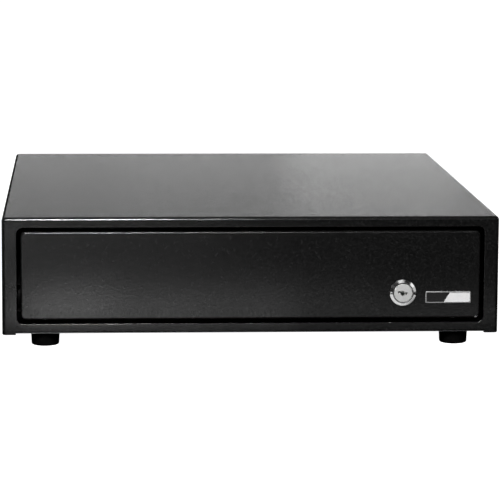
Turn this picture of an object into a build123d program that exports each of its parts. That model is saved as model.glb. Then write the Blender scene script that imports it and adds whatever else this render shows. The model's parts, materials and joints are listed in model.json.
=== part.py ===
"""A steel cash drawer: a folded case on rubber feet, and a drawer on rollers with a till inside.

Frame: +X right, +Y to the rear, +Z up. The origin is on the floor, under the middle of the whole
object, and the front with the lock faces -Y. All sizes are in millimetres.
"""

from build123d import *
import os
from math import atan2, cos, degrees, radians, sin

# ---------------------------------------------------------------- driving dimensions
WIDTH = 350.0
DEPTH = 405.0  # lock face to the heads of the rear screws
HEIGHT = 92.0  # floor to the top of the case
SHEET = 1.0  # folded steel of the case, the base and the drawer
BEND_R = 2.7  # outside radius of the case's folds
LOCK_PROUD = 3.0  # how far the lock stands out of the front
REAR_HEAD = 2.0  # height of the rear screw heads

FRONT = -DEPTH / 2 + LOCK_PROUD  # plane of the front frame and the drawer's face
REAR = DEPTH / 2 - REAR_HEAD
HALF = WIDTH / 2
WALL = HALF - SHEET  # inner face of the case's side walls

# case, heights above the floor
FLANGE_Z = 8.8  # underside of the side walls' bottom flanges
FLANGE_W = 9.5
PAN_Z = FLANGE_Z + SHEET  # the base pan lies on those flanges
LIP_BOTTOM = 10.4  # lower edge of the front frame
OPENING_X = 164.7
OPENING_Z = (16.6, 84.9)
OPENING_R = 4.5
REAR_FLANGE = 10.0
PAN_TOP = PAN_Z + SHEET
PAN_FLANGE = 5.5

# feet
FOOT_X = 145.0
FOOT_INSET = 14.0  # from the front frame and from the rear face to a foot's centre
FOOT_R = 10.2
FOOT_R_LOW = 9.7

# drawer
PANEL_X = 161.8
PANEL_Z = (19.6, 81.7)
PANEL_R = 3.6
PANEL_DEEP = 8.0
PANEL_SHEET = 1.2
TRAY_X = 158.0
TRAY_Z = (18.5, 71.0)
TRAY_FRONT = FRONT + PANEL_DEEP
TRAY_REAR = 137.0
TRAY_FACE_TOP = 80.0
PARTITION_Y = -165.0  # front face of the wall between the lock's space and the till
TRAVEL = 260.0

# rollers and rails
RAIL_Z = (24.0, 44.0)
RAIL_SHEET = 1.0
ROLLER_Z = (RAIL_Z[0] + RAIL_Z[1]) / 2
ROLLER_R = 8.9
ROLLER_BORE = 2.55
AXLE_R = 2.5
CASE_RAIL_IN = 165.6
DRAWER_RAIL_OUT = 164.3
FRONT_ROLLER_Y = -178.0
REAR_ROLLER_Y = 127.0

# lock
LOCK_X, LOCK_Z = 107.0, 38.0
LOCK_HEAD_R = 9.4
BARREL_R = 8.0
PLUG_R = 6.6
PLUG_BORE = 6.65
BARREL_END = -176.0
CAM_Y = (-175.4, -173.4)
CAM_LENGTH = 26.3
CAM_HALF = 5.5

# badge
BADGE_X, BADGE_Z = 139.3, 34.5
BADGE_W, BADGE_H = 32.4, 8.4

# till
TILL_X = 156.0
TILL_Y = (-162.5, 135.0)
TILL_FLOOR = 19.6
TILL_TOP = 73.2
TILL_WALL = 2.0
BAY_SPLIT = -36.0  # the wall between the coins and the notes
BAYS = 4
CUP_ROWS = 2

# clips that hold the notes down
CLIP_PIVOT_Y, CLIP_PIVOT_Z = 127.0, 63.0
CLIP_LENGTH = 108.0
CLIP_WIRE = 1.25
CLIP_TIP_Z = TILL_FLOOR + TILL_WALL + 2.0
CLIP_SHAFT_R = 1.5

# latch, with the latch released
PIVOT_Y = 187.0
LATCH_Z = (20.0, 22.5)
LATCH_RELEASED = 10.0  # degrees from engaged to released
SPRING_X, SPRING_Y = 24.0, 148.0  # fixed end of the return spring
LINK_X, LINK_DY = 9.0, -20.0  # the link pin, from the pivot, with the latch engaged
STRIKER_Y = 153.0
STRIKER_PIN_R = 2.5
PLATE_Z = PAN_TOP + 1.5  # top of the mechanism plate
LEAF_X, LEAF_Y = -32.5, 179.6  # hinge of the switch's leaf
SOLENOID_Z = 24.5
SOLENOID_X = (30.0, 62.0)
SOLENOID_Y = 168.9
COIL_R = 10.0

# ejector springs and buffers
EJECTOR_X, EJECTOR_Z = 75.0, 45.0
EJECTOR_POST_R = 4.0

# socket for the trigger cable
SOCKET_X, SOCKET_Z = 110.0, 31.0


# ---------------------------------------------------------------- helpers
def block(x, y, z):
    """A box from three (low, high) pairs."""
    return Pos((x[0] + x[1]) / 2, (y[0] + y[1]) / 2, (z[0] + z[1]) / 2) * Box(
        x[1] - x[0], y[1] - y[0], z[1] - z[0]
    )


def mid_block(cx, cy, cz, dx, dy, dz):
    """A box from its centre and its sizes."""
    return Pos(cx, cy, cz) * Box(dx, dy, dz)


def bar_x(x, y, z, r):
    """A round bar along X, from x[0] to x[1]."""
    return Pos((x[0] + x[1]) / 2, y, z) * Rot(0, 90, 0) * Cylinder(r, x[1] - x[0])


def bar_y(x, y, z, r):
    return Pos(x, (y[0] + y[1]) / 2, z) * Rot(90, 0, 0) * Cylinder(r, y[1] - y[0])


def bar_z(x, y, z, r):
    return Pos(x, y, (z[0] + z[1]) / 2) * Cylinder(r, z[1] - z[0])


def plate_xz(width, height, radius, cx, cz, y):
    """A plate across Y with rounded corners, from y[0] to y[1]."""
    face = Plane.XZ * RectangleRounded(width, height, radius)
    return Pos(cx, y[1], cz) * extrude(face, y[1] - y[0])


def plate_xy(width, depth, radius, cx, cy, z):
    """A flat plate with rounded corners, from z[0] to z[1]."""
    return Pos(cx, cy, z[0]) * extrude(RectangleRounded(width, depth, radius), z[1] - z[0])


def mirrored(shape):
    return mirror(shape, Plane.YZ)


def both_sides(shape):
    """Two separate solids: the shape and its mirror image across X."""
    return Compound([*shape.solids(), *mirrored(shape).solids()])


def group(shapes):
    return Compound([s for shape in shapes for s in shape.solids()])


def save(shape, name):
    shape.label = name
    export_step(shape, f"parts/{name}.step")


# ---------------------------------------------------------------- case
def case_block(inset, rear_inset):
    """The case's outer form, made smaller by a sheet's thickness for its inside."""
    solid = block(
        (-HALF + inset, HALF - inset),
        (FRONT + inset, REAR - rear_inset),
        (FLANGE_Z + inset, HEIGHT - inset),
    )
    radius = BEND_R - inset
    low = solid.edges().group_by(Axis.Z)[0]
    return fillet([e for e in solid.edges() if e not in low], radius)


def on_opening_rim(edge):
    """True for an edge of the front opening that lies in the front plane."""
    box = edge.bounding_box()
    in_plane = abs(box.min.Y - FRONT) < 0.001 and abs(box.max.Y - FRONT) < 0.001
    inside_x = box.max.X < OPENING_X + 0.001 and box.min.X > -OPENING_X - 0.001
    return in_plane and inside_x and OPENING_Z[0] - 0.001 < box.min.Z and box.max.Z < OPENING_Z[1] + 0.001


def on_lower_outline(edge):
    """True for an outer edge along the bottom of the front frame or of a side wall."""
    box = edge.bounding_box()
    level = abs(box.min.Z - box.max.Z) < 0.001 and box.max.Z < LIP_BOTTOM + 0.001
    at_front = abs(box.min.Y - FRONT) < 0.001 and abs(box.max.Y - FRONT) < 0.001
    at_side = abs(abs(box.center().X) - HALF) < 0.001
    return level and (at_front or at_side)


def case_shell():
    """Top, sides, front frame and rear flanges, folded from one sheet."""
    shell = case_block(0, 0) - case_block(SHEET, SHEET)
    inner_flange_x = HALF - FLANGE_W
    # the bottom is open between the side walls' flanges
    shell -= block(
        (-inner_flange_x, inner_flange_x), (FRONT + SHEET, REAR), (0, PAN_Z + 0.5)
    )
    shell -= block((-inner_flange_x, inner_flange_x), (FRONT, FRONT + SHEET), (0, LIP_BOTTOM))
    opening = plate_xz(
        2 * OPENING_X,
        OPENING_Z[1] - OPENING_Z[0],
        OPENING_R,
        0,
        sum(OPENING_Z) / 2,
        (FRONT - 1, FRONT + 3),
    )
    shell -= opening
    rim = [e for e in shell.edges() if on_opening_rim(e)]
    shell = fillet(rim, 0.45)
    shell = fillet([e for e in shell.edges() if on_lower_outline(e)], 0.8)
    rear_hole_x = WALL - REAR_FLANGE
    shell -= block((-rear_hole_x, rear_hole_x), (REAR - 3, REAR + 1), (0, HEIGHT - SHEET - REAR_FLANGE))
    for x, z in rear_screw_places():
        shell -= bar_y(x, (REAR - 3, REAR + 1), z, 1.8)
    for x, y in bottom_screw_places():
        shell -= bar_z(x, y, (FLANGE_Z - 1, PAN_Z + 0.5), 1.8)
    return shell


def base_pan():
    """The zinc-coated base, with low flanges folded up on all four sides."""
    x = WALL - 0.1
    y = (FRONT + SHEET + 0.1, REAR - 2 * SHEET)
    pan = block((-x, x), y, (PAN_Z, PAN_TOP + PAN_FLANGE))
    pan = fillet(pan.edges().filter_by(Axis.Z), 2.4)
    pan -= block((-x + SHEET, x - SHEET), (y[0] + SHEET, y[1] - SHEET), (PAN_TOP, PAN_TOP + 20))
    for fx, fy in foot_places():
        pan -= bar_z(fx, fy, (PAN_Z - 1, PAN_TOP + 1), 2.05)
    for sx, sy in bottom_screw_places():
        pan -= bar_z(sx, sy, (PAN_Z - 1, PAN_TOP + 1), 1.75)
    for sx, sy in plate_screw_places():
        pan -= bar_z(sx, sy, (PAN_Z - 1, PAN_TOP + 1), 1.55)
    pan -= release_slot(PAN_Z - 1, PAN_TOP + 1)
    return pan


def rear_panel():
    """The black plate that closes the rear, inside the case's rear flanges."""
    y = (REAR - 2 * SHEET, REAR - SHEET)
    x = WALL - 2.2
    panel = block((-x, x), y, (PAN_TOP + 0.4, HEIGHT - SHEET - 2.2))
    panel -= mid_block(SOCKET_X, REAR, SOCKET_Z, 16.2, 10, 14.2)
    for sx, sz in rear_screw_places():
        panel -= bar_y(sx, (y[0] - 1, y[1] + 1), sz, 1.75)
    for side in (-1, 1):
        panel -= bar_y(side * EJECTOR_X, (y[0] - 1, y[1] + 1), EJECTOR_Z, 2.05)
    # pressed louvre slots let the solenoid's heat out
    for i in range(6):
        panel -= mid_block(-130 + 9 * i, y[0], 60, 3, 4, 22)
    return panel


def foot_places():
    front = FRONT + FOOT_INSET
    rear = REAR - FOOT_INSET
    return [(sx * FOOT_X, y) for sx in (-1, 1) for y in (front, rear)]


def rear_screw_places():
    side = WALL - REAR_FLANGE / 2
    top = HEIGHT - SHEET - REAR_FLANGE / 2
    return [(-side, 34), (side, 34), (-110, top), (0, top), (110, top)]


def bottom_screw_places():
    x = HALF - FLANGE_W / 2 - 0.6
    return [(sx * x, y) for sx in (-1, 1) for y in (-140, 0, 140)]


def rubber_foot(x, y):
    """A tapered foot with a rounded tread and a deep well for its screw."""
    body = Cone(FOOT_R_LOW, FOOT_R, PAN_Z, align=(Align.CENTER, Align.CENTER, Align.MIN))
    body = fillet(body.edges().group_by(Axis.Z)[0], 1.5)
    body = fillet(body.edges().group_by(Axis.Z)[-1], 0.5)
    body -= bar_z(0, 0, (-1, 5.0), 4.6)
    body -= bar_z(0, 0, (4, PAN_Z + 1), 2.15)
    return Pos(x, y, 0) * body


def pan_screw(head_r, head_h, shank_r, shank_l):
    """A cross-head screw along +Z: the head's flat underside is at z 0, the shank goes up."""
    head = Pos(0, 0, -head_h) * Cylinder(head_r, head_h, align=(Align.CENTER, Align.CENTER, Align.MIN))
    head = fillet(head.edges().group_by(Axis.Z)[0], head_h * 0.45)
    slot = head_r * 1.15
    for turn in (0, 90):
        head -= Pos(0, 0, -head_h) * Rot(0, 0, turn) * Box(slot, head_r * 0.28, head_h)
    shank = Cylinder(shank_r, shank_l, align=(Align.CENTER, Align.CENTER, Align.MIN))
    return head + chamfer(shank.edges().group_by(Axis.Z)[-1], shank_r * 0.3)


def foot_screws():
    return group(Pos(x, y, 5.0) * pan_screw(3.9, 2.4, 2.0, 9.0) for x, y in foot_places())


def foot_nuts():
    nut = extrude(RegularPolygon(4.0, 6), 3.0) - Cylinder(2.02, 20)
    return group(Pos(x, y, PAN_TOP) * nut for x, y in foot_places())


def bottom_screws():
    screw = pan_screw(3.1, 1.7, 1.7, 5.0)
    return group(Pos(x, y, FLANGE_Z) * screw for x, y in bottom_screw_places())


def rear_screws():
    screw = Rot(90, 0, 0) * pan_screw(3.4, REAR_HEAD, 1.7, 7.0)
    return group(Pos(x, REAR, z) * screw for x, z in rear_screw_places())


# ---------------------------------------------------------------- rails and rollers, right side
def case_rail():
    """The C-shaped rail on the case's wall. The drawer's rear roller runs inside it."""
    rail = block((CASE_RAIL_IN, WALL), (-196, 190), RAIL_Z)
    rail -= block(
        (0, WALL - RAIL_SHEET),
        (-200, 200),
        (RAIL_Z[0] + RAIL_SHEET, RAIL_Z[1] - RAIL_SHEET),
    )
    stop_y = REAR_ROLLER_Y - TRAVEL - ROLLER_R - 1.5
    rail += block((CASE_RAIL_IN, WALL), (stop_y - RAIL_SHEET, stop_y), RAIL_Z)
    rail += block((CASE_RAIL_IN, WALL), (REAR_ROLLER_Y + ROLLER_R + 1.6, REAR_ROLLER_Y + ROLLER_R + 2.6), RAIL_Z)
    rail -= bar_x((WALL - 3, WALL + 1), FRONT_ROLLER_Y, ROLLER_Z, AXLE_R + 0.02)
    return rail


def case_rail_rivets():
    places = (-150, -40, 70, 165)
    return both_sides(
        group(bar_x((172.1, WALL - RAIL_SHEET), y, ROLLER_Z, 3.0) for y in places)
    )


def case_roller_stud():
    stud = bar_x((DRAWER_RAIL_OUT + 0.2, WALL - RAIL_SHEET), FRONT_ROLLER_Y, ROLLER_Z, 4.0)
    stud += bar_x((159.9, WALL), FRONT_ROLLER_Y, ROLLER_Z, AXLE_R)
    stud += bar_x((159.3, 160.0), FRONT_ROLLER_Y, ROLLER_Z, 3.6)
    return stud


def drawer_rail():
    """The C-shaped rail welded to the tray's side. It rolls over the case's front roller."""
    y = (TRAY_FRONT + 1.5, TRAY_REAR)
    rail = block((TRAY_X, DRAWER_RAIL_OUT), y, RAIL_Z)
    rail -= block(
        (TRAY_X + RAIL_SHEET, WIDTH),
        (y[0] - 1, y[1] + 1),
        (RAIL_Z[0] + RAIL_SHEET, RAIL_Z[1] - RAIL_SHEET),
    )
    rail -= bar_x((TRAY_X - 1, TRAY_X + 3), REAR_ROLLER_Y, ROLLER_Z, AXLE_R + 0.02)
    return rail


def drawer_roller_stud():
    stud = bar_x((TRAY_X + RAIL_SHEET, 165.8), REAR_ROLLER_Y, ROLLER_Z, 4.0)
    stud += bar_x((TRAY_X, 171.5), REAR_ROLLER_Y, ROLLER_Z, AXLE_R)
    stud += bar_x((171.4, 172.0), REAR_ROLLER_Y, ROLLER_Z, 3.6)
    return stud


def roller(x, y):
    """A nylon wheel with a dished hub and a slightly crowned tread."""
    wheel = bar_x(x, y, ROLLER_Z, ROLLER_R)
    wheel = fillet(wheel.edges().filter_by(GeomType.CIRCLE), 0.5)
    dish = bar_x((x[0] - 1, x[0] + 0.6), y, ROLLER_Z, 7.2) - bar_x((x[0] - 2, x[0] + 2), y, ROLLER_Z, 4.4)
    wheel -= dish
    wheel -= Pos(x[1] - x[0] - 0.6 + 1, 0, 0) * dish
    return wheel - bar_x((x[0] - 1, x[1] + 1), y, ROLLER_Z, ROLLER_BORE)


# ---------------------------------------------------------------- drawer
def drawer_front():
    """The inset front panel: a shallow pan with soft edges and a return flange behind."""
    width, height = 2 * PANEL_X, PANEL_Z[1] - PANEL_Z[0]
    centre_z = sum(PANEL_Z) / 2
    back = FRONT + PANEL_DEEP
    skin = plate_xz(width, height, PANEL_R, 0, centre_z, (FRONT, back))
    skin = fillet(skin.edges().group_by(Axis.Y)[0], 1.2)
    t = PANEL_SHEET
    skin -= plate_xz(width - 2 * t, height - 2 * t, PANEL_R - t, 0, centre_z, (FRONT + t, back - t))
    skin -= plate_xz(width - 14, height - 14, 3, 0, centre_z, (back - 2 * t, back + 1))
    for x, z in front_screw_places():
        skin -= bar_y(x, (back - 2, back + 1), z, 1.55)
    return skin - bar_y(LOCK_X, (FRONT - 1, FRONT + 3), LOCK_Z, BARREL_R + 0.1)


def drawer_tray():
    """The steel tray, with a taller face plate in front and a wall that closes off the lock."""
    y = (TRAY_FRONT, TRAY_REAR)
    tray = block((-TRAY_X, TRAY_X), y, TRAY_Z)
    tray = fillet(
        tray.edges().group_by(Axis.Z)[0].filter_by(Axis.Y) + tray.edges().filter_by(Axis.Z).group_by(Axis.Y)[-1],
        1.6,
    )
    tray += block((-TRAY_X, TRAY_X), (TRAY_FRONT, TRAY_FRONT + SHEET), (TRAY_Z[0] + 2, TRAY_FACE_TOP))
    inside_x = TRAY_X - SHEET
    floor = TRAY_Z[0] + SHEET
    tray -= block((-inside_x, inside_x), (TRAY_FRONT + SHEET, PARTITION_Y), (floor, HEIGHT))
    tray -= block((-inside_x, inside_x), (PARTITION_Y + SHEET, TRAY_REAR - SHEET), (floor, HEIGHT))
    tray -= bar_y(LOCK_X, (TRAY_FRONT - 1, TRAY_FRONT + 2), LOCK_Z, BARREL_R + 0.1)
    tray -= block((LOCK_X - CAM_HALF - 2.5, LOCK_X + 26), (CAM_Y[0] - 1.5, CAM_Y[1] + 1.5), (0, floor + 1))
    for x, z in front_screw_places():
        tray -= bar_y(x, (TRAY_FRONT - 1, TRAY_FRONT + 2), z, 1.55)
    for x in (-10, 10):
        tray -= bar_y(x, (TRAY_REAR - 2, TRAY_REAR + 1), 40, 1.65)
    return tray


def front_screw_places():
    return [(sx * 158.0 * 0.94, z) for sx in (-1, 1) for z in (25.2, 77.0)] + [(-40, 77.0), (40, 77.0)]


def front_screws():
    screw = Rot(90, 0, 0) * pan_screw(2.8, 1.6, 1.5, 4.0)
    return group(Pos(x, TRAY_FRONT + SHEET, z) * screw for x, z in front_screw_places())


def lock_cover():
    """The plate over the space behind the drawer's face, where the lock sits."""
    cover = block(
        (-TRAY_X + 0.2, TRAY_X - 0.2),
        (TRAY_FRONT + SHEET, PARTITION_Y + SHEET),
        (TRAY_Z[1], TRAY_Z[1] + SHEET),
    )
    for x in (-120, 120):
        cover += block((x - 12, x + 12), (PARTITION_Y - SHEET, PARTITION_Y), (TRAY_Z[1] - 9, TRAY_Z[1]))
    return cover


def badge_plate():
    """A plain plate with a raised rim and no mark on it."""
    plate = plate_xz(BADGE_W, BADGE_H, 0.9, BADGE_X, BADGE_Z, (FRONT - 0.7, FRONT))
    plate = fillet(plate.edges().group_by(Axis.Y)[0], 0.25)
    return plate - plate_xz(BADGE_W - 1.6, BADGE_H - 1.6, 0.4, BADGE_X, BADGE_Z, (FRONT - 1, FRONT - 0.45))


def badge_inlay():
    return plate_xz(BADGE_W - 1.7, BADGE_H - 1.7, 0.35, BADGE_X, BADGE_Z, (FRONT - 0.55, FRONT - 0.45))


# ---------------------------------------------------------------- lock
def lock_body():
    """The chromed cylinder: a domed collar in front, a threaded barrel behind."""
    collar = bar_y(LOCK_X, (FRONT - LOCK_PROUD, FRONT), LOCK_Z, LOCK_HEAD_R)
    collar = chamfer(collar.edges().filter_by(GeomType.CIRCLE).group_by(Axis.Y)[0], 1.7, 2.0)
    collar = fillet(collar.edges().filter_by(GeomType.CIRCLE).group_by(Axis.Y)[1], 0.45)
    barrel = bar_y(LOCK_X, (FRONT - 1, BARREL_END), LOCK_Z, BARREL_R)
    body = collar + barrel
    for i in range(8):  # thread grooves where the nut runs
        y = TRAY_FRONT + SHEET + 5.2 + i
        groove = bar_y(LOCK_X, (y, y + 0.5), LOCK_Z, BARREL_R + 1) - bar_y(LOCK_X, (y - 1, y + 1), LOCK_Z, BARREL_R - 0.4)
        body -= groove
    return body - bar_y(LOCK_X, (FRONT - LOCK_PROUD - 1, BARREL_END + 1), LOCK_Z, PLUG_BORE)


def lock_plug():
    """The turning plug with its stepped keyway, and a squared tail for the cam."""
    face = FRONT - LOCK_PROUD
    plug = bar_y(LOCK_X, (face, BARREL_END), LOCK_Z, PLUG_R)
    plug = chamfer(plug.edges().filter_by(GeomType.CIRCLE).group_by(Axis.Y)[0], 0.3)
    tail = mid_block(LOCK_X, (BARREL_END + CAM_Y[1]) / 2, LOCK_Z, 6.0, CAM_Y[1] - BARREL_END, 6.0)
    plug += tail
    plug -= bar_y(LOCK_X, (CAM_Y[1] - 8.5, CAM_Y[1] + 1), LOCK_Z, 1.82)
    depth = (face - 1, face + 13)
    keyway = block((LOCK_X - 3.7, LOCK_X + 0.6), depth, (LOCK_Z, LOCK_Z + 1.3))
    keyway += block((LOCK_X - 0.6, LOCK_X + 3.2), depth, (LOCK_Z - 1.0, LOCK_Z + 0.3))
    keyway += bar_y(LOCK_X - 0.4, depth, LOCK_Z - 0.6, 1.5)
    keyway += bar_y(LOCK_X + 2.4, depth, LOCK_Z - 0.35, 0.9)
    return plug - keyway


def lock_cam():
    """The flat tongue that swings down behind the keeper when the key is turned."""
    y = (CAM_Y[0], CAM_Y[1])
    cam = bar_y(LOCK_X, y, LOCK_Z, 8.0)
    cam += block((LOCK_X, LOCK_X + CAM_LENGTH - 3), y, (LOCK_Z - CAM_HALF, LOCK_Z + CAM_HALF))
    tip = plate_xz(10, 2 * CAM_HALF, 3, LOCK_X + CAM_LENGTH - 5, LOCK_Z, y)
    cam += tip
    return cam - mid_block(LOCK_X, CAM_Y[0], LOCK_Z, 6.1, 10, 6.1)


def cam_screw():
    screw = Rot(90, 0, 0) * pan_screw(4.6, 2.2, 1.8, 8.0)
    return Pos(LOCK_X, CAM_Y[1], LOCK_Z) * screw


def lock_nut():
    nut = Pos(LOCK_X, TRAY_FRONT + SHEET + 4.0, LOCK_Z) * extrude(
        Plane.XZ * RegularPolygon(12.7, 6), 4.0
    )
    nut &= bar_y(LOCK_X, (TRAY_FRONT, TRAY_FRONT + 12), LOCK_Z, 12.2)
    return nut - bar_y(LOCK_X, (TRAY_FRONT, TRAY_FRONT + 12), LOCK_Z, BARREL_R + 0.02)


def lock_keeper():
    """The upright tab on the base that the cam's tip locks behind."""
    front = CAM_Y[0] - 3.0
    keeper = block((LOCK_X - 12, LOCK_X + 12), (front - 12, front), (PAN_TOP, PAN_TOP + 1.5))
    keeper += block((LOCK_X - 12, LOCK_X + 12), (front - 1.5, front), (PAN_TOP, 15.4))
    return keeper


# ---------------------------------------------------------------- till
def bay_centres():
    pitch = 2 * (TILL_X - TILL_WALL) / BAYS
    return [pitch * (i - (BAYS - 1) / 2) for i in range(BAYS)]


def till_insert():
    """The moulded till: a bay for notes behind, a bay for the coin cups in front, and a rim."""
    till = block((-TILL_X, TILL_X), TILL_Y, (TILL_FLOOR, TILL_TOP))
    till = fillet(till.edges().filter_by(Axis.Z), 3)
    rim = plate_xy(
        2 * TRAY_X - 0.6,
        TILL_Y[1] - TILL_Y[0] + 1.6,
        3,
        0,
        sum(TILL_Y) / 2,
        (TRAY_Z[1] + 0.2, TILL_TOP),
    )
    till += rim
    inside = 2 * (TILL_X - TILL_WALL)
    floor = TILL_FLOOR + TILL_WALL
    for low, high in note_and_coin_spans():
        pocket = plate_xy(inside, high - low, 3, 0, (low + high) / 2, (floor, HEIGHT))
        till -= fillet(pocket.edges().group_by(Axis.Z)[0], 1.5)
    notes = note_and_coin_spans()[1]
    for x in divider_places():
        for y in (notes[0], notes[1] - 3):
            for side in (-1, 1):
                till += mid_block(x + side * 2.2, y + 1.5, 46, 2, 3, 50)
    for x in bay_centres():
        for side in (-1, 1):
            ear = mid_block(x + side * 27, 129.5, CLIP_PIVOT_Z, 3, 8, 10)
            till += ear
        till -= bar_x((x - 30, x + 30), CLIP_PIVOT_Y, CLIP_PIVOT_Z, CLIP_SHAFT_R + 0.01)
    return till


def note_and_coin_spans():
    """(front, rear) of the coin bay and of the note bay."""
    return [
        (TILL_Y[0] + TILL_WALL, BAY_SPLIT - TILL_WALL / 2),
        (BAY_SPLIT + TILL_WALL / 2, TILL_Y[1] - TILL_WALL),
    ]


def divider_places():
    pitch = 2 * (TILL_X - TILL_WALL) / BAYS
    return [pitch * (i - BAYS / 2 + 1) for i in range(BAYS - 1)]


def note_dividers():
    """Three loose plates that slide into slots at both ends of the note bay."""
    y = note_and_coin_spans()[1]
    plates = []
    for x in divider_places():
        plate = block((x - 1.0, x + 1.0), (y[0] + 0.2, y[1] - 0.2), (TILL_FLOOR + TILL_WALL + 0.1, 70))
        plate = fillet(plate.edges().filter_by(Axis.X).group_by(Axis.Z)[-1], 8)
        plate = chamfer(plate.edges().filter_by(Axis.X).group_by(Axis.Z)[0], 2)
        plates.append(plate)
    return group(plates)


def coin_cup(x, y, size_x, size_y):
    """A loose cup with a scooped floor, so that coins can be drawn up its front wall."""
    low, high = TILL_FLOOR + TILL_WALL + 0.2, 70.0
    outer = plate_xy(size_x, size_y, 5, x, y, (low, high))
    outer = fillet(outer.edges().group_by(Axis.Z)[0], 1.5)
    wall = 1.5
    rim = plate_xy(size_x + 0.6, size_y + 0.6, 5.3, x, y, (high - 2.5, high))
    cavity = block(
        (x - size_x / 2 + wall, x + size_x / 2 - wall),
        (y - size_y / 2 + wall, y + size_y / 2 - wall),
        (low + wall, high + 30),
    )
    cavity = fillet(cavity.edges().filter_by(Axis.Z), 3.5)
    scoop = block(
        (x - size_x, x + size_x),
        (y - size_y / 2 + wall, y + size_y / 2 - wall),
        (low + wall, high + 30),
    )
    scoop = fillet(scoop.edges().group_by(Axis.Z)[0].filter_by(Axis.X), 20)
    return outer + rim - (cavity & scoop)


def coin_cups():
    front, rear = note_and_coin_spans()[0]
    pitch = (rear - front) / CUP_ROWS
    pitch_x = 2 * (TILL_X - TILL_WALL) / BAYS
    return group(
        coin_cup(x, front + pitch * (row + 0.5), pitch_x - 1.4, pitch - 1.4)
        for x in bay_centres()
        for row in range(CUP_ROWS)
    )


# ---------------------------------------------------------------- note clips
def clip_angle():
    """Degrees below level at which an empty bay's clip rests on the floor."""
    return degrees(atan2(CLIP_PIVOT_Z - CLIP_TIP_Z, CLIP_LENGTH))


def clip_shafts():
    return group(
        bar_x((x - 28.5, x + 28.5), CLIP_PIVOT_Y, CLIP_PIVOT_Z, CLIP_SHAFT_R) for x in bay_centres()
    )


def note_clip(x):
    """A sleeve on the shaft, two wire arms, and a cross wire that carries a small pad."""
    half = 19.0
    tip = CLIP_PIVOT_Y - CLIP_LENGTH
    sleeve = bar_x((x - 25, x + 25), CLIP_PIVOT_Y, CLIP_PIVOT_Z, 3.0)
    corner = 12.0
    route = FilletPolyline(
        (x - half, CLIP_PIVOT_Y - 1.5, CLIP_PIVOT_Z),
        (x - half, tip, CLIP_PIVOT_Z),
        (x + half, tip, CLIP_PIVOT_Z),
        (x + half, CLIP_PIVOT_Y - 1.5, CLIP_PIVOT_Z),
        radius=corner,
    )
    wire = sweep(Plane(origin=route @ 0, z_dir=route % 0) * Circle(CLIP_WIRE), path=route)
    pad = plate_xy(22, 10, 3, x, tip, (CLIP_PIVOT_Z - 1.9, CLIP_PIVOT_Z + 1.9))
    clip = sleeve + wire + fillet(pad.edges().group_by(Axis.Z)[-1], 1.2)
    clip -= bar_x((x - 26, x + 26), CLIP_PIVOT_Y, CLIP_PIVOT_Z, CLIP_SHAFT_R + 0.06)
    hinge = Axis((x, CLIP_PIVOT_Y, CLIP_PIVOT_Z), (1, 0, 0))
    return clip.rotate(hinge, clip_angle())


# ---------------------------------------------------------------- latch and solenoid
def turned(shape):
    """A shape drawn with the latch engaged, turned to where it is when released."""
    return shape.rotate(Axis((0, PIVOT_Y, 0), (0, 0, 1)), LATCH_RELEASED)


def turned_point(x, y):
    """Where a point of the latch, given from the pivot, is when released."""
    a = radians(LATCH_RELEASED)
    return x * cos(a) - y * sin(a), PIVOT_Y + x * sin(a) + y * cos(a)


def release_slot(low, high):
    """The slot under the latch, through which a finger can push its tab."""
    return plate_xy(30, 15, 4, 13, 160, (low, high))


def plate_screw_places():
    return [(-36, 151), (60, 151), (-36, 192), (60, 192)]


def mechanism_plate():
    plate = plate_xy(112, 52, 4, 12, 171, (PAN_TOP, PLATE_Z))
    plate -= release_slot(PAN_TOP - 1, PLATE_Z + 1)
    for x, y in plate_screw_places():
        plate -= bar_z(x, y, (PAN_TOP - 1, PLATE_Z + 1), 1.55)
    plate += bar_z(SPRING_X, SPRING_Y, (PLATE_Z - 0.5, 18.6), 1.4)  # anchor of the return spring
    plate += bar_z(0, PIVOT_Y, (PLATE_Z - 0.5, LATCH_Z[0] - 0.2), 5.0)  # seat of the latch
    for y in (171, 181):
        plate += bar_z(-29, y, (PLATE_Z - 0.5, 17.0), 2.6)  # standoffs of the switch
    return plate


def plate_screws():
    screw = Rot(180, 0, 0) * pan_screw(2.9, 1.8, 1.5, 4.5)
    return group(Pos(x, y, PLATE_Z) * screw for x, y in plate_screw_places())


def latch_pin():
    pin = bar_z(0, PIVOT_Y, (LATCH_Z[0] - 0.2, LATCH_Z[1] + 0.3), 3.0)
    return pin + bar_z(0, PIVOT_Y, (LATCH_Z[1] + 0.2, LATCH_Z[1] + 2.2), 5.0)


def latch_lever():
    """The hook that holds the striker, with an arm for the switch and a tab for a finger."""
    z = LATCH_Z
    lever = bar_z(0, PIVOT_Y, z, 7.0)
    lever += block((3, 14), (149, PIVOT_Y), z)
    lever += block((-2.5, 14), (143.5, 149.5), z)
    lever -= Pos(-2.5, 143.5, z[0]) * Rot(0, 0, 30) * mid_block(0, -5, 1, 20, 10, 10)
    lever += block((-20, 0), (PIVOT_Y - 3, PIVOT_Y + 3), z)
    lever += block((6, 12), (159.0, 161.0), (9.0, z[0] + 0.5))
    lever += bar_z(LINK_X, PIVOT_Y + LINK_DY, (z[0], 26.4), 1.5)
    lever += block((0, SPRING_X + 2.4), (PIVOT_Y - 2.4, PIVOT_Y + 2.4), z)
    lever += bar_z(SPRING_X, PIVOT_Y, (14.6, z[0] + 0.5), 1.4)
    lever -= bar_z(0, PIVOT_Y, (0, 40), 3.05)
    return turned(lever)


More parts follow.
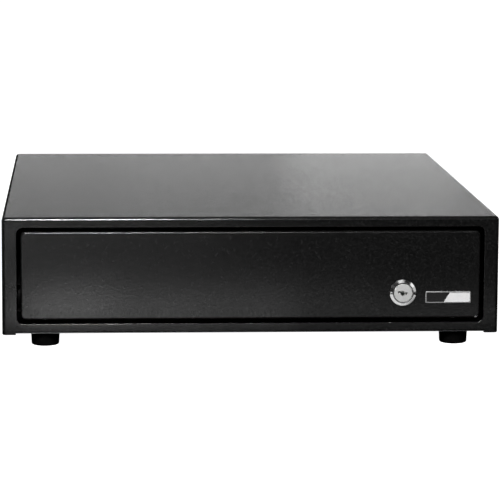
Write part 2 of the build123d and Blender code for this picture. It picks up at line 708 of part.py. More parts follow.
def solenoid_frame():
    x0, x1 = SOLENOID_X
    y = (SOLENOID_Y - 11, SOLENOID_Y + 11)
    frame = block((x0, x1), y, (PLATE_Z, PLATE_Z + 2))
    frame += block((x0, x0 + 2), y, (PLATE_Z, SOLENOID_Z + 11))
    frame += block((x1 - 2, x1), y, (PLATE_Z, SOLENOID_Z + 11))
    frame -= bar_x((x0 - 1, x0 + 3), SOLENOID_Y, SOLENOID_Z, 4.8)
    frame -= bar_x((x1 - 3, x1 + 1), SOLENOID_Y, SOLENOID_Z, 3.0)
    return frame


def solenoid_bobbin():
    x = (SOLENOID_X[0] + 2, SOLENOID_X[1] - 2)
    bobbin = bar_x(x, SOLENOID_Y, SOLENOID_Z, 6.0)
    for end in ((x[0], x[0] + 1.6), (x[1] - 1.6, x[1])):
        bobbin += bar_x(end, SOLENOID_Y, SOLENOID_Z, COIL_R)
    return bobbin - bar_x((0, 100), SOLENOID_Y, SOLENOID_Z, 4.7)


def solenoid_coil():
    x = (SOLENOID_X[0] + 3.7, SOLENOID_X[1] - 3.7)
    coil = bar_x(x, SOLENOID_Y, SOLENOID_Z, COIL_R - 0.8) - bar_x((0, 100), SOLENOID_Y, SOLENOID_Z, 6.05)
    return coil


def solenoid_core():
    core = bar_x((SOLENOID_X[1] - 8, SOLENOID_X[1] - 2), SOLENOID_Y, SOLENOID_Z, 4.6)
    return core + bar_x((SOLENOID_X[1] - 3, SOLENOID_X[1] + 1), SOLENOID_Y, SOLENOID_Z, 2.95)


def solenoid_plunger():
    """The iron plunger, with a slotted tongue over the latch's link pin."""
    link_x, link_y = turned_point(LINK_X, LINK_DY)
    rod = bar_x((24.5, SOLENOID_X[1] - 9), SOLENOID_Y, SOLENOID_Z, 4.5)
    tongue = mid_block((link_x - 4 + 25.5) / 2, SOLENOID_Y, SOLENOID_Z, 25.5 - link_x + 4, 9, 2.6)
    rod += tongue
    slot = mid_block(link_x, SOLENOID_Y - 0.93, SOLENOID_Z, 3.3, 5.6, 4)
    return rod - slot


def latch_spring():
    """The tension spring that pulls the latch back to engaged, with a loop at each end."""
    wire_r, coil_r, loop_r, turns = 0.4, 2.2, 1.9, 15
    z = 16.4
    far_x, far_y = turned_point(SPRING_X, 0)
    reach = ((far_x - SPRING_X) ** 2 + (far_y - SPRING_Y) ** 2) ** 0.5
    start, end = 6.0, reach - 6.0
    helix = Helix((end - start) / turns, end - start, coil_r)
    path = Pos(start, 0, 0) * Rot(0, 90, 0) * helix
    spring = sweep(Plane(origin=path @ 0, z_dir=path % 0) * Circle(wire_r), path=path, is_frenet=True)
    for centre, toward, coil_end in ((0.0, loop_r, path @ 0), (reach, reach - loop_r, path @ 1)):
        spring += Pos(centre, 0, 0) * Torus(loop_r, wire_r)
        tail = Line((toward, 0, 0), coil_end)
        spring += sweep(Plane(origin=tail @ 0, z_dir=tail % 0) * Circle(wire_r), path=tail)
    heading = degrees(atan2(far_y - SPRING_Y, far_x - SPRING_X))
    return Pos(SPRING_X, SPRING_Y, z) * Rot(0, 0, heading) * spring


def microswitch():
    body = block((-34, -14), (168, 178), (17.0, 23.4))
    body = fillet(body.edges().filter_by(Axis.Z), 0.8)
    for y in (171, 175.5):
        body -= bar_z(-29 if y == 171 else -19, y, (16, 25), 1.3)
    for i, y in enumerate((170, 173, 176)):
        body += block((-38, -33.5), (y - 0.3, y + 0.3), (19, 21.6))
    return body


def switch_lever():
    """The spring-steel leaf that follows the latch's arm, on its own hinge."""
    leaf = block((LEAF_X, -15.5), (LEAF_Y - 0.2, LEAF_Y + 0.2), (18, 22.4))
    leaf += bar_z(-16.2, LEAF_Y + 0.38, (18, 22.4), 1.0)
    return leaf + bar_z(LEAF_X, LEAF_Y, (17.4, 23.0), 0.9)


def striker():
    """The bracket on the drawer's rear wall and the pin that the latch hooks."""
    y = TRAY_REAR
    bracket = block((-16, 16), (y, y + 1.5), (27, 46))
    bracket += block((-8, 8), (y, 158.5), (27, 28.5))
    for x in (-10, 10):
        bracket -= bar_y(x, (y - 1, y + 3), 40, 1.65)
    return bracket - bar_z(0, STRIKER_Y, (20, 35), STRIKER_PIN_R - 0.5)


def striker_pin():
    pin = bar_z(0, STRIKER_Y, (18.6, 27.0), STRIKER_PIN_R)
    pin += bar_z(0, STRIKER_Y, (26.5, 28.5), STRIKER_PIN_R - 0.5)
    return pin + bar_z(0, STRIKER_Y, (28.5, 29.3), STRIKER_PIN_R + 0.6)


def striker_rivets():
    rivets = []
    for x in (-10, 10):
        rivet = bar_y(x, (TRAY_REAR - SHEET, TRAY_REAR + 1.5), 40, 1.6)
        rivets.append(rivet + bar_y(x, (TRAY_REAR + 1.5, TRAY_REAR + 2.5), 40, 3.0))
    return group(rivets)


# ---------------------------------------------------------------- ejector
def ejector_posts():
    y = (141.0, REAR - 2 * SHEET)
    post = bar_y(EJECTOR_X, y, EJECTOR_Z, EJECTOR_POST_R)
    post += bar_y(EJECTOR_X, (y[1] - 1, REAR - SHEET), EJECTOR_Z, 2.0)
    return both_sides(post)


def ejector_buffers():
    cap = bar_y(EJECTOR_X, (138.2, 147.0), EJECTOR_Z, 5.2)
    cap = fillet(cap.edges().filter_by(GeomType.CIRCLE).group_by(Axis.Y)[0], 1.2)
    return both_sides(cap - bar_y(EJECTOR_X, (141.0, 150), EJECTOR_Z, EJECTOR_POST_R))


def ejector_springs():
    """Compression springs on the posts, squeezed between the rear panel and the drawer."""
    wire_r, coil_r, turns = 0.75, 6.9, 9
    start, end = TRAY_REAR + 0.2 + wire_r, REAR - 2 * SHEET - 0.1 - wire_r
    helix = Helix((end - start) / turns, end - start, coil_r)
    springs = []
    for x in (-EJECTOR_X, EJECTOR_X):
        path = Pos(x, end, EJECTOR_Z) * Rot(90, 0, 0) * helix
        profile = Plane(origin=path @ 0, z_dir=path % 0) * Circle(wire_r)
        springs.append(sweep(profile, path=path, is_frenet=True))
    return group(springs)


# ---------------------------------------------------------------- cable socket and wires
def cable_socket():
    """A six-way modular socket, open to the rear, in a snap-in housing."""
    face = REAR + 0.4
    body = mid_block(SOCKET_X, (face + 181) / 2, SOCKET_Z, 16, face - 181, 14)
    body += mid_block(SOCKET_X, (face + REAR - SHEET) / 2, SOCKET_Z, 19, face - REAR + SHEET, 17)
    cavity = mid_block(SOCKET_X, face, SOCKET_Z + 0.8, 11.8, 27, 7.2)
    notch = mid_block(SOCKET_X, face, SOCKET_Z - 3.5, 6.4, 27, 3.0)
    return body - cavity - notch


def socket_contacts():
    """Six sprung wires along the roof of the socket."""
    face = REAR + 0.4
    contacts = []
    for i in range(6):
        x = SOCKET_X + (i - 2.5) * 1.27
        contacts.append(block((x - 0.25, x + 0.25), (face - 12, face - 3.0), (SOCKET_Z + 3.7, SOCKET_Z + 4.2)))
    return group(contacts)


def wire(points, radius, bends):
    route = FilletPolyline(*points, radius=bends)
    return sweep(Plane(origin=route @ 0, z_dir=route % 0) * Circle(radius), path=route)


def wire_harness():
    """Two leads from the socket to the coil, and two along the rear to the switch."""
    leads = []
    for i in range(2):
        dz = 2.2 * i
        leads.append(
            wire(
                [
                    (104 + 3 * i, 181, 28 + dz),
                    (104 + 3 * i, 168 - 2 * i, 28 + dz),
                    (80, 163 - 3 * i, 29 + dz),
                    (63.5, 163 - 3 * i, 29 + dz),
                ],
                0.7,
                6,
            )
        )
        leads.append(
            wire(
                [
                    (111 + 3 * i, 181, 26 + dz),
                    (111 + 3 * i, 177, 26 + dz),
                    (108 + 3 * i, 172 - 2 * i, 14.2 + dz),
                    (96, 190, 14.2 + dz),
                    (66, 195.6, 14.2 + dz),
                    (-44, 195.6, 14.2 + dz),
                    (-50, 180, 16 + dz),
                    (-46, 170 + 6 * i, 20),
                    (-38.1, 170 + 6 * i, 20.3),
                ],
                0.7,
                [2, 2.5, 4, 12, 8, 6, 2.5],
            )
        )
    return group(leads)


# ---------------------------------------------------------------- build
def main():
    os.makedirs("parts", exist_ok=True)
    save(case_shell(), "case_shell")
    save(base_pan(), "base_pan")
    save(rear_panel(), "rear_panel")
    save(group(rubber_foot(x, y) for x, y in foot_places()), "rubber_feet")
    save(foot_screws(), "foot_screws")
    save(foot_nuts(), "foot_nuts")
    save(bottom_screws(), "bottom_screws")
    save(rear_screws(), "rear_screws")

    save(mirrored(case_rail()), "case_rail_left")
    save(case_rail(), "case_rail_right")
    save(case_rail_rivets(), "case_rail_rivets")
    save(both_sides(case_roller_stud()), "case_roller_studs")
    save(mirrored(drawer_rail()), "drawer_rail_left")
    save(drawer_rail(), "drawer_rail_right")
    save(both_sides(drawer_roller_stud()), "drawer_roller_studs")
    front_roller = roller((160.1, 164.2), FRONT_ROLLER_Y)
    rear_roller = roller((165.9, 171.3), REAR_ROLLER_Y)
    save(mirrored(front_roller), "front_roller_left")
    save(front_roller, "front_roller_right")
    save(mirrored(rear_roller), "rear_roller_left")
    save(rear_roller, "rear_roller_right")

    save(drawer_front(), "drawer_front")
    save(drawer_tray(), "drawer_tray")
    save(front_screws(), "front_screws")
    save(lock_cover(), "lock_cover")
    save(badge_plate(), "badge_plate")
    save(badge_inlay(), "badge_inlay")

    save(lock_body(), "lock_body")
    save(lock_plug(), "lock_plug")
    save(lock_cam(), "lock_cam")
    save(cam_screw(), "cam_screw")
    save(lock_nut(), "lock_nut")
    save(lock_keeper(), "lock_keeper")

    save(till_insert(), "till_insert")
    save(note_dividers(), "note_dividers")
    save(coin_cups(), "coin_cups")
    save(clip_shafts(), "clip_shafts")
    for number, x in enumerate(bay_centres(), 1):
        save(note_clip(x), f"note_clip_{number}")

    save(mechanism_plate(), "mechanism_plate")
    save(plate_screws(), "plate_screws")
    save(latch_pin(), "latch_pin")
    save(latch_lever(), "latch_lever")
    save(latch_spring(), "latch_spring")
    save(solenoid_frame(), "solenoid_frame")
    save(solenoid_bobbin(), "solenoid_bobbin")
    save(solenoid_coil(), "solenoid_coil")
    save(solenoid_core(), "solenoid_core")
    save(solenoid_plunger(), "solenoid_plunger")
    save(microswitch(), "microswitch")
    save(switch_lever(), "switch_lever")
    save(striker(), "striker")
    save(striker_pin(), "striker_pin")
    save(striker_rivets(), "striker_rivets")

    save(ejector_posts(), "ejector_posts")
    save(ejector_buffers(), "ejector_buffers")
    save(ejector_springs(), "ejector_springs")
    save(cable_socket(), "cable_socket")
    save(socket_contacts(), "socket_contacts")
    save(wire_harness(), "wire_harness")


main()
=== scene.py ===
import json
import math

import bpy
from mathutils import Matrix, Vector


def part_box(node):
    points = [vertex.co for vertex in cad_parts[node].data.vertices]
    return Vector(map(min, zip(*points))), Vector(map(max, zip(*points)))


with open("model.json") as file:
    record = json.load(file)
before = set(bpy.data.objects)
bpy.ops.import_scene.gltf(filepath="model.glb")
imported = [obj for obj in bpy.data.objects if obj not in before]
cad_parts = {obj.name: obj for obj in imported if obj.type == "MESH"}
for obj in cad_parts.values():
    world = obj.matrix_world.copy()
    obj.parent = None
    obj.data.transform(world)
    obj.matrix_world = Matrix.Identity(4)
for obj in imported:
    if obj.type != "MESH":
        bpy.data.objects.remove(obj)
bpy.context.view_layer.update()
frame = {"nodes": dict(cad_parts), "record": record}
nodes = frame["nodes"]
badge_low, badge_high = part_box("badge_inlay")

# ---------------------------------------------------------------- places on the object, in metres
BADGE_MIDDLE = (badge_low + badge_high) / 2
BADGE_SPLIT = -0.001  # the slanted line crosses the badge's middle height this far along X from its centre
BADGE_SLANT = 0.65  # how far the line leans right per unit of height
FRONT_EDGE_Z = 0.0806  # the drawer front's rolled top edge starts here
LOCK_FACE = (0.107, -0.2, 0.038)
BADGE_FACE = (0.139, -0.2, 0.035)

# a painted highlight at the drawer front's lower right corner: a small bright slanted patch in the base
# colour that stands in for a glint on the corner's fold
PAINTED_GLINT_X, PAINTED_GLINT_Z = 0.1600, 0.0203
PAINTED_GLINT_HALF_WIDTH, PAINTED_GLINT_HALF_HEIGHT, PAINTED_GLINT_SLOPE = 0.0016, 0.0006, 0.2
PAINTED_GLINT_COLOR = (0.85, 0.85, 0.84)


# ---------------------------------------------------------------- shading
class Shader:
    """A node material with its Principled shader, and short calls for adding nodes."""

    def __init__(self, name, color, rough, metal=0.0, spec=0.5, coat=0.0, coat_rough=0.1):
        self.mat = bpy.data.materials.new(name)
        self.mat.use_nodes = True
        self.tree = self.mat.node_tree
        self.tree.nodes.clear()
        self.out = self.node("ShaderNodeOutputMaterial")
        self.bsdf = self.node("ShaderNodeBsdfPrincipled")
        self.link(self.bsdf.outputs[0], self.out.inputs["Surface"])
        self.put("Base Color", (*color, 1))
        self.put("Roughness", rough)
        self.put("Metallic", metal)
        self.put("Specular IOR Level", spec)
        self.put("Coat Weight", coat)
        self.put("Coat Roughness", coat_rough)
        self.coords = self.node("ShaderNodeTexCoord").outputs["Object"]

    def node(self, kind, **settings):
        made = self.tree.nodes.new(kind)
        for key, value in settings.items():
            setattr(made, key, value)
        return made

    def link(self, a, b):
        self.tree.links.new(a, b)

    def put(self, socket, value):
        self.bsdf.inputs[socket].default_value = value

    def stretched(self, scale):
        m = self.node("ShaderNodeMapping")
        m.inputs["Scale"].default_value = scale
        self.link(self.coords, m.inputs["Vector"])
        return m.outputs[0]

    def noise(self, scale, detail=3.0, rough=0.5, vector=None):
        n = self.node("ShaderNodeTexNoise")
        n.inputs["Scale"].default_value = scale
        n.inputs["Detail"].default_value = detail
        n.inputs["Roughness"].default_value = rough
        self.link(vector or self.coords, n.inputs["Vector"])
        return n.outputs["Fac"]

    def crystals(self, scale):
        """A random grey for each cell."""
        n = self.node("ShaderNodeTexVoronoi")
        n.inputs["Scale"].default_value = scale
        self.link(self.coords, n.inputs["Vector"])
        grey = self.node("ShaderNodeRGBToBW")
        self.link(n.outputs["Color"], grey.inputs[0])
        return grey.outputs[0]

    def axis(self, letter):
        axes = self.node("ShaderNodeSeparateXYZ")
        self.link(self.coords, axes.inputs[0])
        return axes.outputs[letter]

    def ramp(self, fac, *stops):
        """Stops are (position, grey) or (position, (r, g, b))."""
        r = self.node("ShaderNodeValToRGB")
        elements = r.color_ramp.elements
        while len(elements) < len(stops):
            elements.new(0.5)
        for e, (place, value) in zip(elements, stops):
            e.position = place
            e.color = (*value, 1) if isinstance(value, tuple) else (value, value, value, 1)
        self.link(fac, r.inputs["Fac"])
        return r.outputs["Color"]

    def math(self, operation, a, b=0.0):
        m = self.node("ShaderNodeMath", operation=operation)
        for socket, value in zip(m.inputs, (a, b)):
            if isinstance(value, (int, float)):
                socket.default_value = value
            else:
                self.link(value, socket)
        return m.outputs[0]

    def mix(self, fac, a, b):
        m = self.node("ShaderNodeMix", data_type="RGBA")
        for socket, value in ((m.inputs[0], fac), (m.inputs[6], a), (m.inputs[7], b)):
            if isinstance(value, (int, float)):
                socket.default_value = value
            elif isinstance(value, tuple):
                socket.default_value = (*value, 1)
            else:
                self.link(value, socket)
        return m.outputs[2]

    def bump(self, height, strength, distance, after=None):
        b = self.node("ShaderNodeBump")
        b.inputs["Strength"].default_value = strength
        b.inputs["Distance"].default_value = distance
        self.link(height, b.inputs["Height"])
        if after is not None:
            self.link(after, b.inputs["Normal"])
        return b.outputs[0]

    def edges(self, width, amount):
        """A broken line of wear along sharp edges."""
        round_off = self.node("ShaderNodeBevel", samples=4)
        round_off.inputs["Radius"].default_value = width
        flat = self.node("ShaderNodeNewGeometry").outputs["Normal"]
        dot = self.node("ShaderNodeVectorMath", operation="DOT_PRODUCT")
        self.link(round_off.outputs[0], dot.inputs[0])
        self.link(flat, dot.inputs[1])
        edge = self.ramp(dot.outputs["Value"], (0.80, 1.0), (0.97, 0.0))
        broken = self.ramp(self.noise(260, detail=4.0), (0.42, 0.0), (0.68, 1.0))
        return self.math("MULTIPLY", self.math("MULTIPLY", edge, broken), amount)

    def patch(self, x, z, half_x, half_z, slope):
        """1 inside a small slanted box on a face that looks along Y, 0 outside it."""
        along = self.math("SUBTRACT", self.axis("X"), x)
        rise = self.math("MULTIPLY", along, slope)
        across = self.math("SUBTRACT", self.math("SUBTRACT", self.axis("Z"), z), rise)
        near_x = self.math("LESS_THAN", self.math("ABSOLUTE", along), half_x)
        near_z = self.math("LESS_THAN", self.math("ABSOLUTE", across), half_z)
        return self.math("MULTIPLY", near_x, near_z)

    def normal(self, value):
        self.link(value, self.bsdf.inputs["Normal"])

    def rough(self, value):
        self.link(value, self.bsdf.inputs["Roughness"])

    def color(self, value):
        self.link(value, self.bsdf.inputs["Base Color"])


def powder_coat(name, front=False):
    """Black powder coat with a pebbled skin, rubbed thin along the edges. Its lighter flecks are partly
    the coat's own tone and partly painted glints.

    The pebbles are one to two millimetres apart. The drawer front has a duller rolled edge and a painted
    highlight, a bright patch at its lower right corner.
    """
    rough = 0.2
    s = Shader(name, (0.006, 0.006, 0.0062), rough)
    pebbles = s.noise(560, detail=3.0, rough=0.6)
    flecks = s.noise(1050, detail=2.0, rough=0.6)
    grit = s.noise(2400, detail=1.0)
    n = s.bump(pebbles, 0.25, 0.00022)
    n = s.bump(flecks, 0.4, 0.00016, after=n)
    n = s.bump(grit, 0.2, 0.0001, after=n)
    s.normal(n)
    gloss = s.ramp(pebbles, (0.3, 1.25 * rough), (0.7, 0.75 * rough))
    if front:
        on_edge = s.math("GREATER_THAN", s.axis("Z"), FRONT_EDGE_Z)
        gloss = s.mix(on_edge, gloss, (0.27, 0.27, 0.27))
    s.rough(gloss)
    # base colour speckle, lighter on the pebbles' peaks: partly the coat's own random tone, partly painted
    # glints of the near lamp
    speckle_and_painted_glints = s.ramp(s.mix(0.5, pebbles, flecks), (0.36, 0.0012), (0.5, 0.0045), (0.64, 0.014))
    color = s.mix(s.edges(0.0005, 0.5), speckle_and_painted_glints, (0.05, 0.05, 0.05))
    if front:
        # painted highlight: a bright slanted patch in the base colour at the lower right corner, in place
        # of a glint
        painted_glint = s.patch(PAINTED_GLINT_X, PAINTED_GLINT_Z, PAINTED_GLINT_HALF_WIDTH, PAINTED_GLINT_HALF_HEIGHT, PAINTED_GLINT_SLOPE)
        color = s.mix(painted_glint, color, PAINTED_GLINT_COLOR)
    s.color(color)
    return s.mat


def zinc_sheet(name):
    """Hot-dip zinc: dull crystals with their own brightness, and light rolling marks."""
    s = Shader(name, (0.55, 0.56, 0.57), 0.35, metal=1.0)
    spangle = s.crystals(110)
    drawn = s.noise(60, detail=4.0, vector=s.stretched((40, 1.5, 40)))
    shade = s.mix(0.35, spangle, drawn)
    s.color(s.ramp(shade, (0.2, (0.40, 0.41, 0.43)), (0.8, (0.66, 0.67, 0.68))))
    s.rough(s.ramp(spangle, (0.1, 0.30), (0.9, 0.48)))
    s.normal(s.bump(s.noise(900, detail=2.0), 0.15, 0.0001))
    return s.mat


def plated_steel(name, tint=(0.58, 0.58, 0.57), rough=0.27):
    """Bright zinc plate on turned or pressed steel, a little stained."""
    s = Shader(name, tint, rough, metal=1.0)
    stain = s.noise(420, detail=4.0)
    dark = tuple(0.62 * c for c in tint)
    s.color(s.ramp(stain, (0.35, dark), (0.65, tint)))
    s.rough(s.ramp(s.noise(1500, detail=2.0), (0.3, rough * 0.7), (0.7, rough * 1.5)))
    s.normal(s.bump(s.noise(3000, detail=2.0), 0.2, 0.00005))
    return s.mat


def moulded(name, color, rough, grain=1800, spec=0.45):
    """Injection-moulded plastic with a spark-eroded grain."""
    s = Shader(name, color, rough, spec=spec)
    fine = s.noise(grain, detail=2.0)
    scuffs = s.noise(90, detail=5.0, vector=s.stretched((1, 6, 1)))
    s.normal(s.bump(fine, 0.5, 0.00006))
    s.rough(s.ramp(scuffs, (0.35, rough * 1.15), (0.62, rough * 0.82)))
    light = tuple(min(1.0, 1.35 * c) for c in color)
    dark = tuple(0.75 * c for c in color)
    s.color(s.ramp(s.mix(0.4, scuffs, fine), (0.3, dark), (0.7, light)))
    return s.mat


def rubber(name):
    """Black rubber with dust in its grain."""
    s = Shader(name, (0.0015, 0.0015, 0.0015), 0.7, spec=0.08)
    dust = s.noise(300, detail=5.0)
    s.color(s.ramp(dust, (0.4, 0.0008), (0.75, 0.0024)))
    s.rough(s.ramp(dust, (0.3, 0.65), (0.7, 0.8)))
    s.normal(s.bump(s.noise(2200, detail=2.0), 0.5, 0.00008))
    return s.mat


def chrome(name):
    """Bright plating, faintly hazed where it has been handled."""
    rough = 0.12
    s = Shader(name, (0.78, 0.78, 0.77), rough, metal=1.0)
    s.rough(s.ramp(s.noise(1400, detail=3.0), (0.3, rough * 0.6), (0.7, rough * 1.8)))
    s.color(s.ramp(s.noise(500, detail=3.0), (0.3, 0.70), (0.7, 0.82)))
    s.normal(s.bump(s.noise(2500, detail=2.0), 0.04, 0.00005))
    return s.mat


def die_cast(name):
    """The plug's face: a satin zinc casting, tumbled bright."""
    s = Shader(name, (0.88, 0.88, 0.87), 0.55, metal=1.0)
    grain = s.noise(2400, detail=3.0)
    s.color(s.ramp(grain, (0.3, (0.86, 0.86, 0.85)), (0.7, (0.98, 0.98, 0.97))))
    s.rough(s.ramp(s.noise(900, detail=2.0), (0.3, 0.56), (0.7, 0.70)))
    s.normal(s.bump(grain, 0.35, 0.00008))
    return s.mat


def brushed_plate(name, color):
    """The badge's rim: aluminium brushed from end to end."""
    s = Shader(name, color, 0.3, metal=1.0)
    lines = s.noise(700, detail=4.0, vector=s.stretched((0.15, 1, 8)))
    s.rough(s.ramp(lines, (0.3, 0.22), (0.7, 0.42)))
    s.color(s.ramp(lines, (0.3, tuple(0.85 * c for c in color)), (0.7, color)))
    s.normal(s.bump(lines, 0.2, 0.00005))
    return s.mat


def enamel(name, dark, light):
    """The badge's two fields: dark on the left, light on the right, with a slanted line between."""
    s = Shader(name, light, 0.3, coat=0.3, coat_rough=0.12)
    slant = s.math("SUBTRACT", s.axis("X"), s.math("MULTIPLY", s.axis("Z"), BADGE_SLANT))
    split = BADGE_MIDDLE.x + BADGE_SPLIT - BADGE_MIDDLE.z * BADGE_SLANT
    side = s.math("GREATER_THAN", slant, split)
    flow = s.noise(160, detail=3.0)
    pale = s.ramp(flow, (0.3, tuple(0.92 * c for c in light)), (0.7, light))
    s.color(s.mix(side, dark, pale))
    s.rough(s.ramp(s.noise(1600, detail=2.0), (0.3, 0.24), (0.7, 0.40)))
    s.normal(s.bump(flow, 0.1, 0.00008))
    return s.mat


def wound_coil(name):
    """Copper winding under amber tape: fine turns across the bobbin's axis."""
    s = Shader(name, (0.45, 0.16, 0.05), 0.35, coat=0.5, coat_rough=0.15)
    wave = s.node("ShaderNodeTexWave", wave_type="BANDS", bands_direction="X")
    wave.inputs["Scale"].default_value = 900
    wave.inputs["Distortion"].default_value = 0.6
    s.link(s.coords, wave.inputs["Vector"])
    s.color(s.ramp(wave.outputs["Fac"], (0.1, (0.20, 0.06, 0.02)), (0.9, (0.60, 0.26, 0.09))))
    s.normal(s.bump(wave.outputs["Fac"], 0.5, 0.0001))
    return s.mat


def wire_colours(name):
    """PVC leads, each with its own colour."""
    s = Shader(name, (0.3, 0.02, 0.02), 0.4)
    island = s.node("ShaderNodeNewGeometry").outputs["Random Per Island"]
    hue = s.ramp(
        island,
        (0.0, (0.45, 0.02, 0.015)),
        (0.25, (0.015, 0.015, 0.015)),
        (0.5, (0.5, 0.38, 0.03)),
        (0.75, (0.55, 0.55, 0.52)),
    )
    s.color(s.mix(s.ramp(s.noise(700), (0.4, 0.0), (0.8, 0.25)), hue, (0.05, 0.05, 0.05)))
    s.normal(s.bump(s.noise(1200), 0.3, 0.00006))
    return s.mat


# one finish for each material slot of the record
powder_black = powder_coat("black_powder_coat")
rail_coat = moulded("rail_coat", (0.0025, 0.0025, 0.0025), 0.65, grain=900, spec=0.08)
zinc = zinc_sheet("zinc_sheet")
steel = plated_steel("plated_steel")
spring_steel = plated_steel("spring_wire", (0.50, 0.50, 0.50), 0.2)
clip_steel = plated_steel("clip_wire", (0.62, 0.62, 0.61), 0.16)
materials = {
    "powder_coat": powder_black,
    "zinc": zinc,
    "steel": steel,
    "spring": spring_steel,
    "chrome": chrome("chrome"),
    "rubber": rubber("rubber"),
    "nylon": moulded("black_nylon", (0.0025, 0.0025, 0.0025), 0.6, grain=1500, spec=0.08),
    "till": moulded("till_plastic", (0.022, 0.022, 0.023), 0.42),
    "cups": moulded("cup_plastic", (0.030, 0.030, 0.031), 0.38, grain=2200),
    "badge": brushed_plate("badge_rim", (0.82, 0.82, 0.82)),
    "badge_field": enamel("badge_field", (0.008, 0.008, 0.008), (0.88, 0.88, 0.88)),
    "copper": wound_coil("wound_coil"),
    "bobbin": moulded("bobbin_plastic", (0.62, 0.58, 0.48), 0.45),
    "black_plastic": moulded("black_plastic", (0.014, 0.014, 0.015), 0.35),
    "black_steel": plated_steel("black_oxide", (0.022, 0.022, 0.023), 0.42),
    "brass": plated_steel("gold_flash", (0.80, 0.58, 0.26), 0.25),
    "wire": wire_colours("lead_insulation"),
}

# ---------------------------------------------------------------- finishes on the frame
slots = {p["node"]: p["material_slot"] for p in frame["record"]["subparts"]}
special = {
    "lock_plug": die_cast("die_cast"),
    "drawer_front": powder_coat("front_powder_coat", front=True),
}
for side in ("left", "right"):
    special[f"case_rail_{side}"] = special[f"drawer_rail_{side}"] = rail_coat
for number in range(1, 5):
    special[f"note_clip_{number}"] = clip_steel
for name, obj in nodes.items():
    mesh = obj.data
    mesh.materials.clear()
    mesh.materials.append(special.get(name, materials[slots[name]]))


# ---------------------------------------------------------------- floor, light and camera
def ground(name, z, albedo, glow):
    """A wide level sheet at height z, with its own reflectance and glow."""
    mesh = bpy.data.meshes.new(name)
    mesh.from_pydata([(-30, -20, z), (30, -20, z), (30, 40, z), (-30, 40, z)], [], [(0, 1, 2, 3)])
    plane = bpy.data.objects.new(name, mesh)
    bpy.context.scene.collection.objects.link(plane)
    paper = Shader(name + "_paper", (albedo, albedo, albedo), 0.9, spec=0.0)
    paper.put("Emission Color", (1, 1, 1, 1))
    paper.put("Emission Strength", glow)
    mesh.materials.append(paper.mat)
    return plane


# the white sweep that the camera sees, and the grey table top that the object stands on and reflects
sweep = ground("floor", 0.0, 0.6, 1.1)
sweep.visible_glossy = False
sweep.visible_diffuse = False
table_top = ground("table_top", -0.0002, 0.07, 0.0)
table_top.visible_camera = False


def softbox(name, place, target, size, radiance):
    """A rectangular soft light that looks at the target and has the given brightness."""
    lamp = bpy.data.lights.new(name, "AREA")
    lamp.shape = "RECTANGLE"
    lamp.size, lamp.size_y = size
    lamp.energy = radiance * math.pi * size[0] * size[1]
    obj = bpy.data.objects.new(name, lamp)
    bpy.context.scene.collection.objects.link(obj)
    obj.visible_camera = False
    obj.location = place
    direction = Vector(target) - Vector(place)
    obj.rotation_mode = "QUATERNION"
    obj.rotation_quaternion = direction.to_track_quat("-Z", "Y")
    return obj


CARD_HEIGHT = 0.0005
CARD_WIDTH = 0.068
FIRST_CARD_X = -0.199


def card(name, x, y, size, radiance):
    """A lit card lying face up on the table."""
    return softbox(name, (x, y, CARD_HEIGHT), (x, y, 1), size, radiance)


def card_row(name, y, depth, radiances):
    """Cards side by side before the drawer, from the left, each as bright as it says."""
    for number, radiance in enumerate(radiances):
        x = FIRST_CARD_X + CARD_WIDTH * number
        card(f"{name}_{number}", x, y, (CARD_WIDTH, depth), radiance)


# a small lamp close on the left, and white cards lying on the table before the drawer
softbox("key", (-0.125, -0.75, 0.58), (-0.1, -0.2, 0.08), (0.085, 0.085), 290)
card_row("near_card", -0.297, 0.05, (1.2, 1.7, 1.6, 1.1, 0.5, 0.7, 0.5))
card_row("middle_card", -0.36, 0.07, (0.5, 4.2, 2.1, 1.7, 0.8, 0.3, 0.4))
card("far_card", -0.115, -0.78, (0.23, 0.3), 0.95)
card("far_left_card", -0.255, -0.7, (0.04, 0.4), 7.0)
card("far_right_card", 0.22, -0.78, (0.3, 0.3), 0.12)

# a lit backdrop in four panels, brighter to the right
for x, radiance in ((-0.2, 1.25), (0.1, 1.35), (0.4, 1.95), (0.7, 1.6)):
    softbox("backdrop", (x, 2.7, 0.27), (x, 0, 0.27), (0.3, 0.26), radiance)

# weak boxes over and around the object, for the faces that look up, back and sideways
OBJECT_MIDDLE = (0, 0, 0.05)
softbox("overhead", (0, 0, 2.5), (0, 0, 0), (1.6, 1.6), 0.12)
softbox("high_rear", (0, 2.4, 2.0), OBJECT_MIDDLE, (3.6, 1.6), 0.4)
softbox("high_front", (0, -2.6, 1.6), OBJECT_MIDDLE, (3.0, 0.9), 0.3)
softbox("high_left", (-2.6, 0.1, 1.4), OBJECT_MIDDLE, (2.4, 1.0), 0.5)
softbox("high_right", (2.6, 0.1, 1.4), OBJECT_MIDDLE, (2.4, 1.0), 0.5)
softbox("side_left", (-2.4, 1.4, 0.7), OBJECT_MIDDLE, (1.6, 0.9), 0.8)
softbox("side_right", (2.4, 1.4, 0.7), OBJECT_MIDDLE, (1.6, 0.9), 0.8)

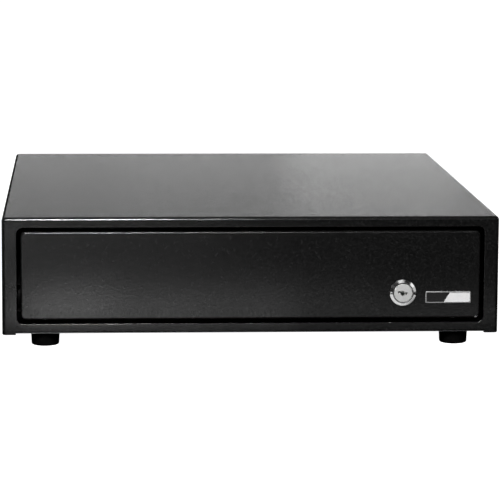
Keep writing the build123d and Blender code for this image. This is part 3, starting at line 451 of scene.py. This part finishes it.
# pale cards on the table beside and behind the object, out of the front's sight
card("left_floor_card", -0.75, 0.4, (0.9, 0.9), 0.5)
card("right_floor_card", 0.75, 0.4, (0.9, 0.9), 0.5)
card("rear_floor_card", 0, 0.75, (0.9, 0.9), 0.5)


def only_lights(lamps, name, node_names):
    """Keeps the lamps' light to the named nodes."""
    lit = bpy.data.collections.new(name)
    for node_name in node_names:
        lit.objects.link(nodes[node_name])
    for lamp in lamps:
        lamp.light_linking.receiver_collection = lit


# three lights that only the chromed lock sees, over it, to its right and under it, and one for the badge
over_lock = softbox("over_lock", (0.06, -0.55, 0.97), LOCK_FACE, (0.7, 0.12), 1.0)
beside_lock = softbox("beside_lock", (0.56, -0.25, 0.10), LOCK_FACE, (0.3, 0.6), 0.6)
under_lock = card("under_lock", 0.1, -0.23, (0.24, 0.06), 0.85)
only_lights((over_lock, beside_lock, under_lock), "lock_only", ("lock_body",))
badge_box = softbox("badge_box", (0.3, -1.0, 0.5), BADGE_FACE, (0.3, 0.3), 5.0)
only_lights((badge_box,), "badge_only", ("badge_plate", "badge_inlay"))

bpy.context.scene.view_settings.view_transform = "Standard"
world = bpy.data.worlds.new("studio")
bpy.context.scene.world = world
world.use_nodes = True
background = world.node_tree.nodes["Background"]
background.inputs["Color"].default_value = (1, 1, 1, 1)
background.inputs["Strength"].default_value = 0.02

# a long lens, low and a little to the left, looking slightly down
CAMERA_PLACE = (-0.11494, -2.03989, 0.34459)
CAMERA_TURN, CAMERA_DIP, CAMERA_ROLL = -0.061717, 0.148547, 0.005499  # radians
camera_data = bpy.data.cameras.new("camera")
camera_data.sensor_width = 36
camera_data.lens = 191.26
camera = bpy.data.objects.new("camera", camera_data)
bpy.context.scene.collection.objects.link(camera)
turn = Matrix.Rotation(CAMERA_TURN, 4, "Z")
tilt = Matrix.Rotation(math.pi / 2 - CAMERA_DIP, 4, "X")
roll = Matrix.Rotation(CAMERA_ROLL, 4, "Z")
camera.matrix_world = Matrix.Translation(CAMERA_PLACE) @ turn @ tilt @ roll
camera_data.clip_start, camera_data.clip_end = 0.1, 200
bpy.context.scene.camera = camera
